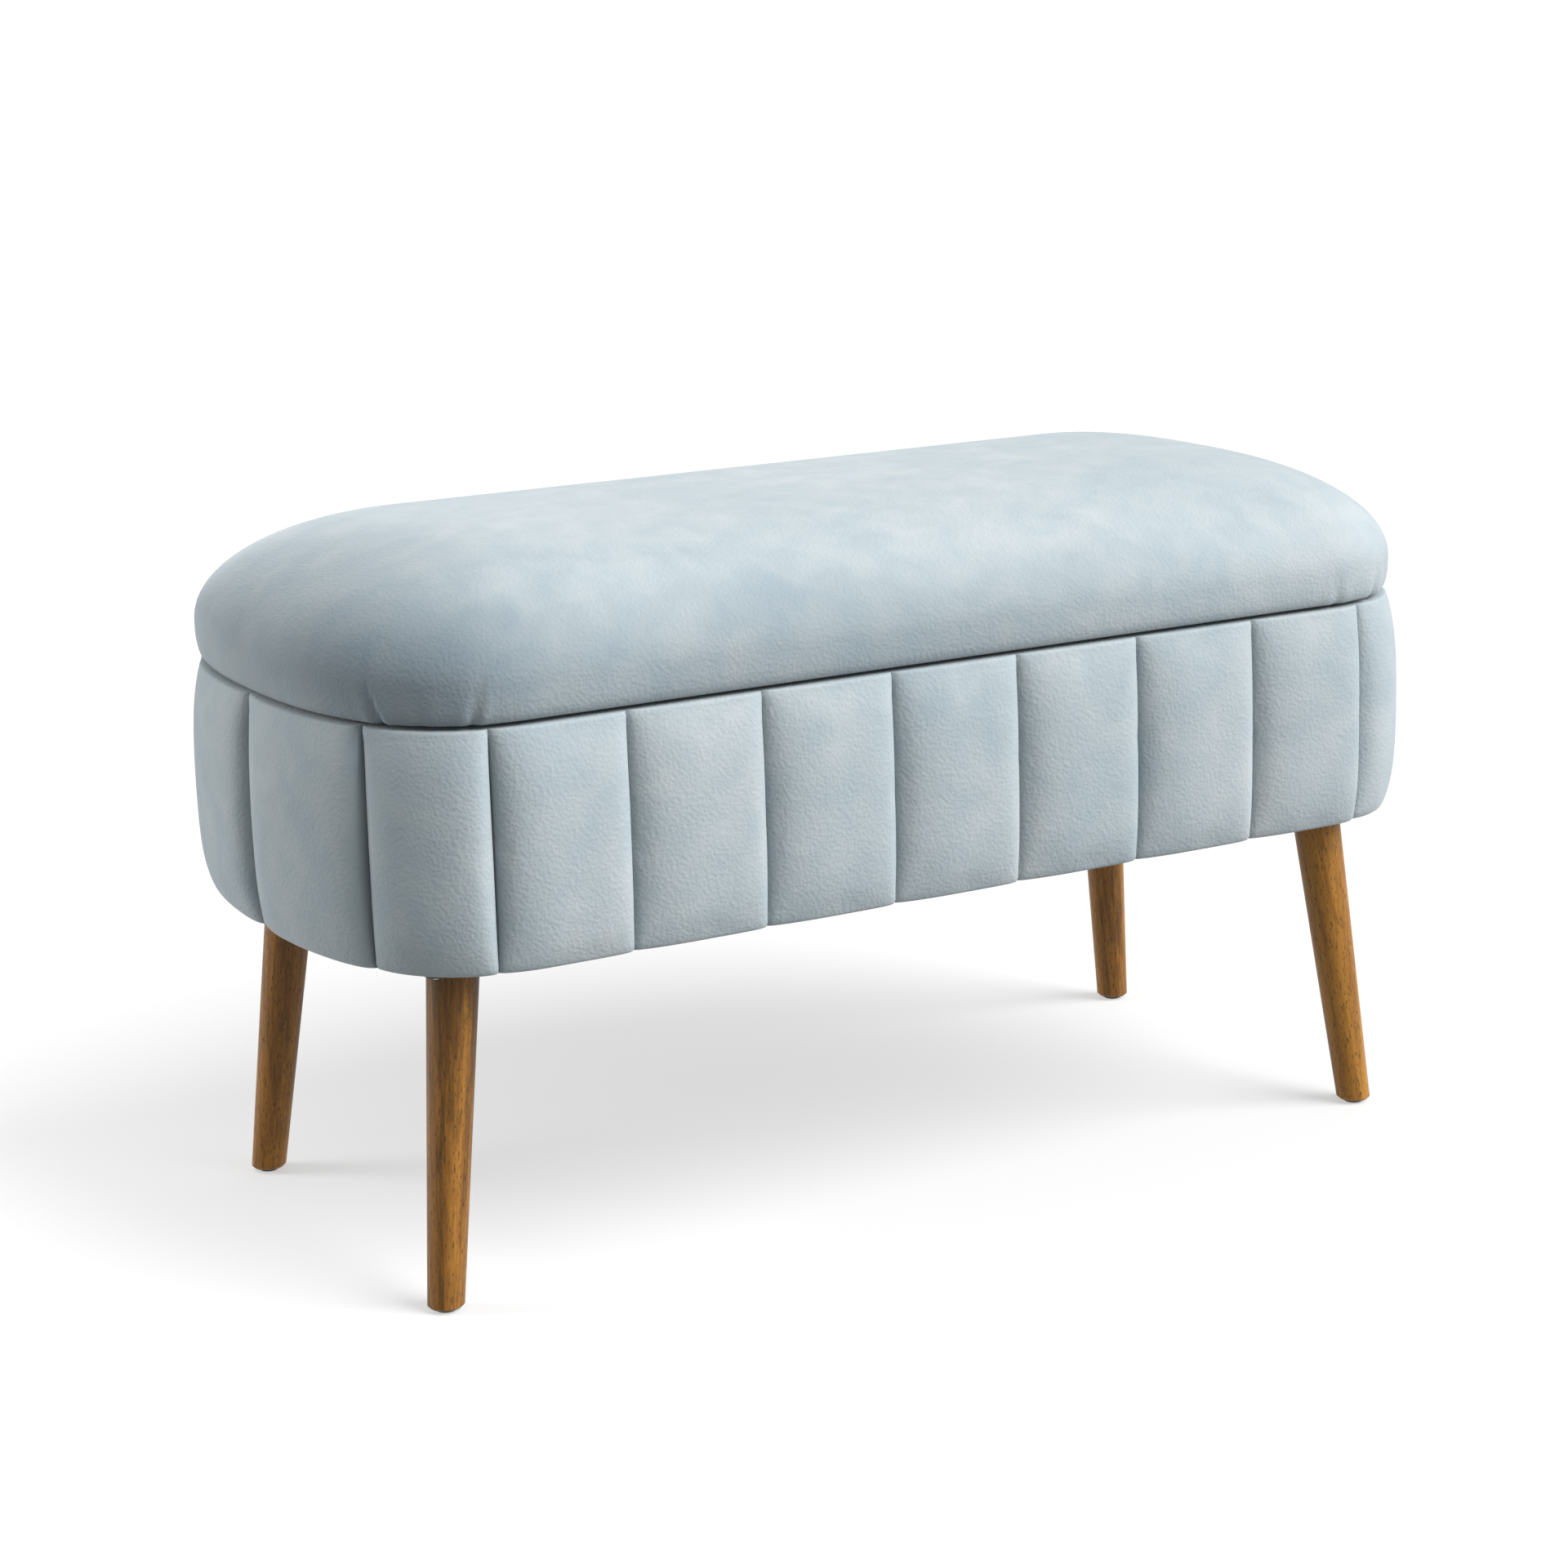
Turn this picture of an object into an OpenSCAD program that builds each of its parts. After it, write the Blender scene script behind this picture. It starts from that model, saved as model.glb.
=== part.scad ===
// Upholstered storage bench: a padded lid, hinged along the back, on a channel-quilted box with
// four splayed wooden legs. Millimetres, +Z up, front towards -Y. The origin is on the floor,
// under the middle of the bench.

/* [Overall] */
// Length of the box at its widest
bench_l = 900; // [780:10:1200]
// Depth of the box at its widest
bench_w = 436; // [360:4:540]
// Floor to the underside of the box
leg_h = 238; // [180:1:320]
// Underside of the box to the top of its rim
body_h = 164; // [130:1:260]
// Height of the lid's edge, without the crown
lid_h = 95; // [76:1:130]
// Extra height of the cushion at its middle
lid_crown = 7; // [0:1:20]
// Gap between the rim and the lid
lid_gap = 3; // [2.8:0.1:5]

/* [Plan outline] */
// How far each rounded corner reaches along the length
corner_run = 132; // [90:1:180]
// Straight stretch at the middle of each end
end_flat = 6; // [2:1:60]
// Squareness of the corners: 2 is an ellipse, higher is squarer
corner_power = 2.48; // [2:0.01:3]

/* [Quilting] */
// Panels along each long side
side_panels = 9; // [7:2:11]
// Width of a panel on the long sides
panel_w = 101.25; // [80:0.25:104]
// How deep the seams between the panels are drawn in
seam_depth = 8; // [3:0.5:9]
// How far the cover draws in at the rim
rim_tuck = 9; // [2:0.5:11]
// How far the cover draws in at the underside
base_tuck = 10; // [2:0.5:11]

/* [Box] */
// Padding outside the wooden walls, cover included
pad_t = 22; // [20:1:30]
// Thickness of the velvet with its backing
cover_t = 1.5; // [1:0.1:2]
// Thickness of the walls
wall_t = 12; // [9:1:18]
// Thickness of the base board
base_t = 15; // [12:1:20]
// Thickness of the rim frame
rim_t = 15; // [12:1:20]
// Width of the rim frame
rim_w = 30; // [28:1:34]
// Width of the cover's hem under the box
hem_w = 32; // [20:1:40]
// Length of a corner post along the wall
post_l = 36; // [30:1:50]
// Thickness of the lining cloth
lining_t = 1.2; // [0.8:0.1:2]
// Thickness of the dust cover
dust_t = 0.8; // [0.5:0.1:1.2]

/* [Lid] */
// How far the lid's edge sits inside the box's widest line
lid_setback = 7.5; // [6:0.5:20]
// How far the lid's side draws in at its lower edge
lid_tuck = 4; // [1:0.5:8]
// Reach of the cushion's rounded edge over the top
round_run = 135; // [60:1:150]
// Height of the cushion's rounded edge
round_h = 70; // [40:1:72]
// Thickness of the lid board
lid_board_t = 12; // [9:1:18]
// Padding around the edge of the lid board
lid_pad = 14; // [10:1:20]

/* [Legs] */
// Leg axis to the end of the base board, at the underside
leg_end_in = 69.3; // [58:0.1:98]
// Leg axis to the side of the base board, at the underside
leg_side_in = 51.6; // [46:0.1:78]
// Lean of the leg from upright
leg_splay = 7.9; // [0:0.1:12]
// Direction of the lean, from the long axis
leg_turn = 36; // [0:1:90]
// Leg radius at the underside of the box
leg_top_r = 18.1; // [14:0.1:22]
// Leg radius at the floor
leg_foot_r = 12.6; // [10:0.1:16]
// Radius of the glide
glide_r = 7.6; // [5:0.1:9]
// Height of the glide under the leg
glide_h = 2.5; // [2:0.1:5]
// Side of the square leg plate
plate_side = 60; // [56:1:64]
// Thickness of the leg plate
plate_t = 2.5; // [2:0.1:4]

/* [Lid hinges] */
// Middle of a hinge to the middle of the bench
hinge_x = 190; // [120:5:230]
// Length of a hinge
hinge_l = 60; // [45:5:80]
// Depth of a hinge leaf, from the pin's axis
leaf_w = 44; // [40:1:46]
// Thickness of a hinge leaf
leaf_t = 1.2; // [1:0.05:1.25]
// Outer radius of the hinge knuckles
knuckle_r = 3.5; // [3:0.1:4]
// Radius of the hinge pin
pin_r = 1.5; // [1.2:0.1:1.8]
// Widest opening of the lid, in degrees
lid_open = 80; // [60:1:80]

/* [Lid stays] */
// Angle of the box stud below the rim line, seen from the hinge
stud_drop = 22; // [20:1:26]
// Angle of the lid pivot below the rim line, seen from the hinge
pivot_drop = 6; // [6:0.5:8]
// Thickness of the stay's steel
stay_t = 2; // [1.5:0.1:2.5]
// Width of the stay arm
arm_w = 12; // [11:1:14]
// Radius of the stud that the arm slides on
stud_r = 3; // [2.5:0.1:3.2]
// Radius of the pivot rivet
rivet_r = 2.5; // [2:0.1:3]
// Least height kept clear under the hanging arm
arm_floor_gap = 8; // [4:1:20]
// Least gap kept between the arm and the rim, with the lid wide open
arm_rim_gap = 1; // [0.5:0.1:4]

/* [Hidden] */
$fn = 48;

velvet = "#a7b9c3";
walnut = "#8a5a2e";
plywood = "#d2b48c";
foam = "#efe6c8";
lining_grey = "#3c4046";
zinc = "#b9bcc0";
black = "#26272a";

eps = 0.01;
soft_gap = 0.3;   // clearance between a soft layer and what it lies on
quilt_gap = 1;    // clearance between the quilted padding and its cover
slip = 0.4;       // side clearance between parts that slide past each other
hole_gap = 0.05;  // radial clearance of a screw, bolt or pin in its hole

// Heights, from the floor up
rim_z = leg_h + body_h;
lid_z = rim_z + lid_gap;
base_z = leg_h + cover_t + soft_gap;
floor_z = base_z + base_t;
frame_top = rim_z - cover_t - soft_gap;
wall_top = frame_top - rim_t;
dust_z = leg_h - soft_gap - dust_t;
plate_z = dust_z - soft_gap - plate_t;
board_z = lid_z + cover_t + soft_gap;

// Plan outline, walked from the middle of the front towards +X and round
half_l = bench_l / 2;
half_w = bench_w / 2;
corner_side = half_w - end_flat / 2;
straight_x = half_l - corner_run;
wall_in = pad_t + wall_t;
corner_steps = 24;

function unit(v) = v / norm(v);
function mix(a, b, t) = a + (b - a) * t;
function corner_point(a) = [
    straight_x + corner_run * pow(sin(a), 2 / corner_power),
    end_flat / 2 + corner_side * pow(cos(a), 2 / corner_power)];
function corner_normal(a) = unit([
    pow(sin(a), 2 - 2 / corner_power) / corner_run,
    pow(cos(a), 2 - 2 / corner_power) / corner_side]);
// Each quarter as [sign x, sign y, first angle, last angle]
quarters = [[1, -1, 0, 90], [1, 1, 90, 0], [-1, 1, 0, 90], [-1, -1, 90, 0]];
walk = concat([[[0, -half_w], [0, -1]]],
    [for (q = quarters) for (i = [0 : corner_steps])
        let (a = mix(q[2], q[3], i / corner_steps), p = corner_point(a), n = corner_normal(a))
        [[q[0] * p[0], q[1] * p[1]], [q[0] * n[0], q[1] * n[1]]]],
    [[[0, -half_w], [0, -1]]]);
arc = [for (i = 0, s = 0; i < len(walk);
    s = s + (i + 1 < len(walk) ? norm(walk[i + 1][0] - walk[i][0]) : 0), i = i + 1) s];
perimeter = arc[len(arc) - 1];
function along(s, k, axis) =
    lookup(s, [for (i = [0 : len(walk) - 1]) [arc[i], walk[i][k][axis]]]);

// Seams: equal panels on the long sides, and two wider ones round each end
side_run = side_panels * panel_w;
end_w = (perimeter / 2 - side_run) / 2;
side_steps = 4;
end_steps = 6;
// Each panel as [arc length at its first seam, its width, its steps]
panels = [for (side = [0, 1]) each concat(
    [for (k = [0 : side_panels - 1])
        [side * perimeter / 2 + (k - side_panels / 2) * panel_w, panel_w, side_steps]],
    [for (k = [0, 1])
        [side * perimeter / 2 + side_run / 2 + k * end_w, end_w, end_steps]])];
stations = [for (p = panels) for (j = [0 : p[2] - 1])
    let (s = p[0] + p[1] * j / p[2]) [(s + perimeter) % perimeter, j / p[2]]];
line = [for (st = stations) [
    [along(st[0], 0, 0), along(st[0], 0, 1)],
    unit([along(st[0], 1, 0), along(st[0], 1, 1)]),
    st[1]]];
count = len(line);

// How far the cover falls back from its crest, from seam (u = 0) to seam (u = 1)
function puff(u) = 1 - sqrt(1 - pow(2 * u - 1, 2));
function outline(inset) = [for (l = line) l[0] - inset * l[1]];
function level(inset, z) = [for (l = line) [each (l[0] - inset * l[1]), z]];
function quilted(inset, depth, z) =
    [for (l = line) [each (l[0] - (inset + depth * puff(l[2])) * l[1]), z]];
// A ring of the lid, drawn in towards the lid's middle line
spine_x = half_l - half_w;
function domed(run, z) = [for (l = line) let (
    p = l[0] - lid_setback * l[1],
    f = run / (half_w - lid_setback),
    target = [max(-spine_x, min(spine_x, p[0])), 0])
    [each mix(p, target, f), z]];

// Skin through rings of equal length; a closed one joins its last ring to its first
module skin(rings, closed) {
    turns = len(rings);
    spans = closed ? turns : turns - 1;
    sides = [for (k = [0 : spans - 1]) for (i = [0 : count - 1]) let (
        a = k * count + i, b = k * count + (i + 1) % count,
        c = ((k + 1) % turns) * count + (i + 1) % count, d = ((k + 1) % turns) * count + i)
        each [[a, d, c], [a, c, b]]];
    last = (turns - 1) * count;
    caps = closed ? [] : [[for (i = [0 : count - 1]) i],
        [for (i = [0 : count - 1]) last + count - 1 - i]];
    polyhedron(points = [for (r = rings) each r], faces = concat(sides, caps));
}

module slab(inset, z, t) translate([0, 0, z]) linear_extrude(t) polygon(outline(inset));

// Upright rod, or one along X, from its low end
module rod(r, h) cylinder(r = r, h = h);
module rod_x(r, h) rotate([0, 90, 0]) cylinder(r = r, h = h);

// Countersunk wood screw, head face at the origin, pointing down
screw_r = 1.7;
screw_head_r = 3.4;
screw_head_h = 1.8;
module wood_screw(len, gap = 0) {
    translate([0, 0, -len - gap]) rod(screw_r + gap, len + gap);
    translate([0, 0, -screw_head_h]) cylinder(r1 = screw_r + gap, r2 = screw_head_r + gap, h = screw_head_h);
    if (gap > 0) rod(screw_head_r + gap, 1);
}

module mirror_for(side) mirror([side < 0 ? 1 : 0, 0, 0]) children();

// ---- Box ----------------------------------------------------------------------------------

leg_x = half_l - pad_t - leg_end_in;
leg_y = half_w - pad_t - leg_side_in;
plate_hole = plate_side / 2 - 7;
plate_screw_len = 14;
plate_screw_head_h = 1.8;

// The same place at each of a leg plate's four screws, on the plate's underside
module at_plate_screws(sx, sy)
    for (px = [-1, 1]) for (py = [-1, 1])
        translate([sx * leg_x + px * plate_hole, sy * leg_y + py * plate_hole, plate_z]) children();

module base_board() color(plywood) difference() {
    slab(pad_t, base_z, base_t);
    for (sx = [-1, 1]) for (sy = [-1, 1]) at_plate_screws(sx, sy)
        rod(screw_r + hole_gap, plate_screw_len + hole_gap);
}

// A straight wall between the corner posts
module side_panel(sy) color(plywood)
    translate([-straight_x, sy > 0 ? half_w - wall_in : -half_w + pad_t, floor_z])
        cube([2 * straight_x, wall_t, wall_top - floor_z]);

// The bent plywood wall round one end
module end_panel(sx) color(plywood) intersection() {
    difference() {
        slab(pad_t, floor_z, wall_top - floor_z);
        slab(wall_in, floor_z - 1, wall_top - floor_z + 2);
    }
    translate([sx > 0 ? straight_x : -half_l, -half_w, floor_z])
        cube([corner_run, bench_w, wall_top - floor_z]);
}

// Footprint of a corner post, grown on its free sides for the lining
post_d = rim_w - wall_t;
module post_plan(sx, sy, grow = 0)
    translate([sx * straight_x - post_l / 2 - grow,
        sy > 0 ? half_w - wall_in - post_d - grow : -half_w + wall_in - 1])
        square([post_l + 2 * grow, post_d + grow + 1]);

module post(sx, sy) color(plywood) difference() {
    translate([0, 0, floor_z]) linear_extrude(wall_top - floor_z) intersection() {
        post_plan(sx, sy);
        polygon(outline(wall_in));
    }
    if (sy > 0) mirror_for(sx) at_bracket_screws() wood_screw_x(hole_gap);
}

module rim_frame() color(plywood) difference() {
    slab(pad_t, wall_top, rim_t);
    slab(pad_t + rim_w, wall_top - 1, rim_t + 2);
    for (sx = [-1, 1]) at_hinge_screws(sx) translate([0, 0, leaf_t + rim_z]) wood_screw(hinge_screw_len, hole_gap);
}

// Side profile of the quilted wall: how far it draws in at a height from 0 (underside) to 1 (rim)
function side_tuck(t) = rim_tuck * pow(t, 6.3) + base_tuck * pow(1 - t, 8);
function seam_fade(t) = 1 - 0.7 * pow(t, 14) - 0.7 * pow(1 - t, 14);
side_levels = [0, 0.03, 0.09, 0.2, 0.4, 0.7, 0.85, 0.94, 0.98, 1];

module body_foam() color(foam) {
    low = base_z;
    high = frame_top;
    inner = pad_t - soft_gap;
    drop = cover_t + quilt_gap;
    skin([for (t = side_levels)
            quilted(side_tuck(t) + drop, seam_depth * seam_fade(t), mix(low, high, t)),
        level(inner, high), level(inner, low)], true);
}

module body_cover() color(velvet) {
    hem_in = base_tuck + hem_w;
    rim_in = pad_t + rim_w + soft_gap;
    turn_z = wall_top + 1;
    inner_levels = [for (i = [len(side_levels) - 1 : -1 : 0]) side_levels[i]];
    skin(concat(
        [level(hem_in, leg_h)],
        [for (t = side_levels)
            quilted(side_tuck(t), seam_depth * seam_fade(t), mix(leg_h, rim_z, t))],
        [level(rim_in + cover_t, rim_z), level(rim_in + cover_t, turn_z), level(rim_in, turn_z),
            level(rim_in, rim_z - cover_t)],
        [for (t = inner_levels)
            quilted(side_tuck(t) + cover_t, seam_depth * seam_fade(t),
                mix(leg_h + cover_t, rim_z - cover_t, t))],
        [level(hem_in, leg_h + cover_t)]), true);
}

module well_plan(grow) difference() {
    polygon(outline(wall_in + grow));
    for (sx = [-1, 1]) for (sy = [-1, 1]) post_plan(sx, sy, grow);
}

module wall_lining() color(lining_grey) difference() {
    translate([0, 0, floor_z + soft_gap]) linear_extrude(wall_top - floor_z - 2 * soft_gap)
        difference() {
            well_plan(soft_gap);
            well_plan(soft_gap + lining_t);
        }
    for (sx = [-1, 1]) mirror_for(sx) at_bracket_screws() wood_screw_x(hole_gap);
}

module floor_lining() color(lining_grey) translate([0, 0, floor_z + soft_gap])
    linear_extrude(lining_t) well_plan(2 * soft_gap + lining_t);

dust_in = base_tuck + hem_w / 2;
module dust_cover() color(black) difference() {
    slab(dust_in, dust_z, dust_t);
    for (sx = [-1, 1]) for (sy = [-1, 1]) at_plate_screws(sx, sy)
        rod(screw_r + hole_gap, plate_screw_len);
}

bumper_r = 5;
module rim_bumpers() color(black) {
    bumper_h = lid_gap - soft_gap;
    mid = pad_t + rim_w / 2;
    for (sx = [-1, 1]) {
        translate([sx * hinge_x, -half_w + mid, rim_z]) cylinder(r1 = bumper_r, r2 = bumper_r - 1, h = bumper_h);
        translate([sx * (half_l - mid), 0, rim_z]) cylinder(r1 = bumper_r, r2 = bumper_r - 1, h = bumper_h);
    }
}

// ---- Legs ---------------------------------------------------------------------------------

bolt_r = 4;
bolt_in_leg = 32;
pad_r = leg_top_r - 2;
// Distances along the leg's axis, from the floor
leg_top_s = (plate_z - leg_top_r * sin(leg_splay) - soft_gap) / cos(leg_splay);
bolt_top_s = (plate_z + plate_t - soft_gap - bolt_r * sin(leg_splay)) / cos(leg_splay);
foot_run = leg_h * tan(leg_splay);
foot_x = leg_x + foot_run * cos(leg_turn);
foot_y = leg_y + foot_run * sin(leg_turn);
function leg_r(s) = mix(leg_foot_r, leg_top_r, s * cos(leg_splay) / leg_h);

// Puts the leg's axis, foot at the origin, in its place
module on_leg(sx, sy) translate([sx * foot_x, sy * foot_y, 0])
    rotate([0, 0, atan2(sy * sin(leg_turn), sx * cos(leg_turn))]) rotate([0, -leg_splay, 0]) children();

// The foot stands upright on the leg's axis, at the height of the glide
module on_foot(sx, sy) {
    lean = glide_h * tan(leg_splay);
    translate([sx * (foot_x - lean * cos(leg_turn)), sy * (foot_y - lean * sin(leg_turn)), 0]) children();
}

foot_chamfer = 1.6;
spigot_r = 3;
spigot_h = 12;
module leg(sx, sy) color(walnut) difference() {
    intersection() {
        on_leg(sx, sy) translate([0, 0, -8])
            cylinder(r1 = leg_r(-8), r2 = leg_r(leg_top_s), h = leg_top_s + 8);
        on_foot(sx, sy) translate([0, 0, glide_h]) {
            cylinder(r1 = leg_foot_r - foot_chamfer, r2 = leg_foot_r + foot_chamfer, h = 2 * foot_chamfer);
            translate([0, 0, 2 * foot_chamfer]) rod(leg_top_r * 6, leg_h);
        }
    }
    on_leg(sx, sy) translate([0, 0, leg_top_s - bolt_in_leg]) rod(bolt_r + hole_gap, bolt_in_leg + 1);
    on_foot(sx, sy) translate([0, 0, glide_h - 1]) rod(spigot_r + hole_gap, spigot_h + 1);
}

module glide(sx, sy) color(black) on_foot(sx, sy) {
    cylinder(r1 = glide_r - 0.8, r2 = glide_r, h = 0.8);
    translate([0, 0, 0.8]) rod(glide_r, glide_h - 0.8);
    translate([0, 0, glide_h - eps]) rod(spigot_r, spigot_h - hole_gap);
}

// Square plate with rounded corners and a slanted boss that the leg's top meets squarely
module leg_plate(sx, sy) color(zinc) difference() {
    union() {
        translate([sx * leg_x, sy * leg_y, plate_z]) rounded_slab(plate_side, plate_side, 6, plate_t);
        intersection() {
            on_leg(sx, sy) translate([0, 0, leg_top_s]) rod(pad_r, 2 * leg_top_r);
            translate([sx * leg_x, sy * leg_y, plate_z - leg_top_r])
                rod(plate_side / 2, leg_top_r + plate_t);
        }
    }
    on_leg(sx, sy) translate([0, 0, leg_top_s - 1]) rod(bolt_r + hole_gap, 2 * leg_top_r);
    at_plate_screws(sx, sy) translate([0, 0, -1]) rod(screw_r + hole_gap, plate_t + 2);
}

module rounded_slab(x, y, r, t) {
    translate([-x / 2 + r, -y / 2, 0]) cube([x - 2 * r, y, t]);
    translate([-x / 2, -y / 2 + r, 0]) cube([x, y - 2 * r, t]);
    for (sx = [-1, 1]) for (sy = [-1, 1]) translate([sx * (x / 2 - r), sy * (y / 2 - r), 0]) rod(r, t);
}

module hanger_bolts() color(zinc) for (sx = [-1, 1]) for (sy = [-1, 1]) on_leg(sx, sy)
    translate([0, 0, leg_top_s - bolt_in_leg + soft_gap])
        rod(bolt_r, bolt_top_s - leg_top_s + bolt_in_leg - soft_gap);

module leg_plate_screws() color(zinc) for (sx = [-1, 1]) for (sy = [-1, 1]) at_plate_screws(sx, sy) {
    rod(screw_r, plate_screw_len);
    translate([0, 0, -plate_screw_head_h])
        cylinder(r1 = screw_head_r - 1, r2 = screw_head_r, h = plate_screw_head_h);
}

// ---- Lid ----------------------------------------------------------------------------------

lid_edge_top = lid_z + lid_h;
round_z = lid_edge_top - round_h;
side_h = round_z - lid_z;
dome_steps = 7;
dome_last = 0.96 * (half_w - lid_setback);
// The rounded edge as a quarter ellipse, then a slow rise to the crown
function dome_z(run) = lid_edge_top - round_h
    * (1 - sqrt(1 - pow(1 - min(run, round_run) / round_run, 2)))
    + lid_crown * pow(sin(90 * run / dome_last), 2);
dome_runs = concat([for (i = [1 : dome_steps]) round_run * (1 - cos(90 * i / dome_steps))], [dome_last]);
// The cushion's side, from the lower edge up to where the rounding starts
side_parts = [0, 0.08, 0.3, 1];
function lid_side(t) = lid_tuck * pow(1 - t, 3);

lid_board_in = lid_setback + lid_pad;
module lid_board() color(plywood) difference() {
    slab(lid_board_in, board_z, lid_board_t);
    lid_fixings();
}

module lid_foam() color(foam) {
    drop = cover_t + soft_gap;
    recess = lid_board_in - soft_gap;
    top = board_z + lid_board_t + soft_gap;
    skin(concat(
        [level(recess, top), level(recess, board_z)],
        [for (t = side_parts) domed(lid_side(t) + drop, mix(board_z, round_z, t))],
        [for (run = dome_runs) domed(run + drop, dome_z(run) - drop)]), false);
}

lid_hem_in = lid_board_in + hem_w;
module lid_cover() color(velvet) {
    // Inside the cover, the board's underside is level with the top of the hem
    hem_top = lid_z + cover_t;
    skin(concat(
        [for (i = [len(dome_runs) - 1 : -1 : 0]) domed(dome_runs[i] + cover_t, dome_z(dome_runs[i]) - cover_t)],
        [for (i = [len(side_parts) - 1 : -1 : 0])
            domed(lid_side(side_parts[i]) + cover_t, mix(hem_top, round_z, side_parts[i]))],
        [level(lid_hem_in, hem_top), level(lid_hem_in, lid_z)],
        [for (t = side_parts) domed(lid_side(t), mix(lid_z, round_z, t))],
        [for (run = dome_runs) domed(run, dome_z(run))]), false);
}

module lid_lining() color(lining_grey) difference() {
    slab(lid_hem_in + soft_gap, board_z - soft_gap - lining_t, lining_t);
    lid_fixings();
}

// ---- Hinges -------------------------------------------------------------------------------

// The pin's axis lies behind the lid and inside the box's widest line
axis_y = half_w - knuckle_r;
axis_z = rim_z + lid_gap / 2;
hinge_screw_len = 14;
screw_line = half_w - pad_t - rim_w / 2;
knuckles = 5;
knuckle_w = hinge_l / knuckles;
leaf_gap = 0.4;

module at_hinge_screws(side) for (k = [-1, 0, 1])
    translate([side * hinge_x + k * hinge_l / 3, screw_line, 0]) children();

// First or second set of knuckles, drilled by the caller
module knuckle_row(side, first) for (k = [first : 2 : knuckles - 1])
    translate([side * hinge_x - hinge_l / 2 + k * knuckle_w + leaf_gap / 2, axis_y, axis_z])
        children();

// A leaf with its knuckles: up is 1 on the lid, -1 on the box
module hinge_leaf(side, up) color(zinc) {
    low = up > 0 ? lid_z - leaf_t : rim_z;
    first = up > 0 ? 1 : 0;
    difference() {
        union() {
            translate([side * hinge_x - hinge_l / 2, axis_y - leaf_w, low])
                cube([hinge_l, leaf_w - knuckle_r - leaf_gap, leaf_t]);
            knuckle_row(side, first) {
                rod_x(knuckle_r, knuckle_w - leaf_gap);
                translate([0, -knuckle_r - leaf_gap - 1, low - axis_z])
                    cube([knuckle_w - leaf_gap, knuckle_r + leaf_gap + 1, leaf_t]);
            }
        }
        translate([side * hinge_x - hinge_l / 2 - 1, axis_y, axis_z])
            rod_x(pin_r + hole_gap, hinge_l + 2);
        at_hinge_screws(side) translate([0, 0, up > 0 ? lid_z - leaf_t : rim_z + leaf_t])
            rotate([up > 0 ? 180 : 0, 0, 0]) wood_screw(hinge_screw_len, hole_gap);
    }
}

module hinge_pin(side) color(zinc)
    translate([side * hinge_x - hinge_l / 2, axis_y, axis_z]) rod_x(pin_r, hinge_l);

module hinge_box_screws() color(zinc) for (side = [-1, 1]) at_hinge_screws(side)
    translate([0, 0, rim_z + leaf_t]) wood_screw(hinge_screw_len);

lid_screw_len = 12;
module hinge_lid_screws() color(zinc) for (side = [-1, 1]) at_hinge_screws(side)
    translate([0, 0, lid_z - leaf_t]) rotate([180, 0, 0]) wood_screw(lid_screw_len);

// ---- Lid stays ----------------------------------------------------------------------------

// The stud on the box and the pivot on the lid are equally far from the hinge axis, so the arm
// turns half as fast as the lid and always points at the stud.
arm_tail = arm_w / 2 + 2;
stay_swing = (stud_drop - pivot_drop + lid_open) / 2;
arm_lean = (stud_drop + pivot_drop) / 2;
well_d = axis_z - floor_z - soft_gap - lining_t;
open_lean = (lid_open - stud_drop - pivot_drop) / 2;
rim_edge_d = pad_t + rim_w + soft_gap + cover_t - knuckle_r;
// The longest stay clears the floor, the shortest clears the rim, and this one lies midway
stay_long = (well_d - arm_floor_gap - arm_tail) / (sin(pivot_drop) + 2 * sin(stay_swing) * cos(arm_lean));
stay_short = (rim_edge_d * cos(open_lean) - (axis_z - rim_z) * sin(open_lean) + arm_w / 2 + arm_rim_gap)
    / cos(stay_swing);
stay_r = (stay_long + stay_short) / 2;
stud_y = axis_y - stay_r * cos(stud_drop);
stud_z = axis_z - stay_r * sin(stud_drop);
pivot_y = axis_y - stay_r * cos(pivot_drop);
pivot_z = axis_z - stay_r * sin(pivot_drop);
slot_near = 2 * stay_r * sin((stud_drop - pivot_drop) / 2);
slot_far = 2 * stay_r * sin(stay_swing);
stud_gap = 0.3;

// Layers along X, from the post's side face inwards
post_face = straight_x - post_l / 2;
plate_x = post_face - soft_gap - lining_t - soft_gap - stay_t;
arm_x = plate_x - slip - stay_t;
lid_plate_x = arm_x - slip - stay_t;
head_r = 5;
head_t = 1.2;

bracket_top = wall_top - soft_gap - stud_z;
bracket_low = -12;
bracket_front = stud_y - 8;
bracket_back = half_w - wall_in - 2;
bracket_screw_y = half_w - wall_in - post_d / 2;

module at_bracket_screws() for (k = [0, 1])
    translate([plate_x, bracket_screw_y, stud_z + mix(bracket_low + 5, bracket_top - 5, k)]) children();

// Screw that drives towards +X, head face at the origin
module wood_screw_x(gap = 0) rotate([0, -90, 0]) wood_screw(12, gap);

module stay_box_bracket(side) color(zinc) mirror_for(side) difference() {
    union() {
        translate([plate_x, stud_y, stud_z + bracket_low])
            cube([stay_t, bracket_back - stud_y, bracket_top - bracket_low]);
        translate([plate_x, stud_y, stud_z]) rod_x(8, stay_t);
    }
    translate([plate_x - 1, stud_y, stud_z]) rod_x(stud_r + hole_gap, stay_t + 2);
    at_bracket_screws() wood_screw_x(hole_gap);
}

module stay_studs() color(zinc) for (side = [-1, 1]) mirror_for(side) {
    translate([arm_x - slip - head_t / 2, stud_y, stud_z])
        rod_x(stud_r, plate_x + stay_t - arm_x + slip + head_t / 2);
    translate([arm_x - slip - head_t, stud_y, stud_z]) rod_x(head_r, head_t);
}

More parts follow.
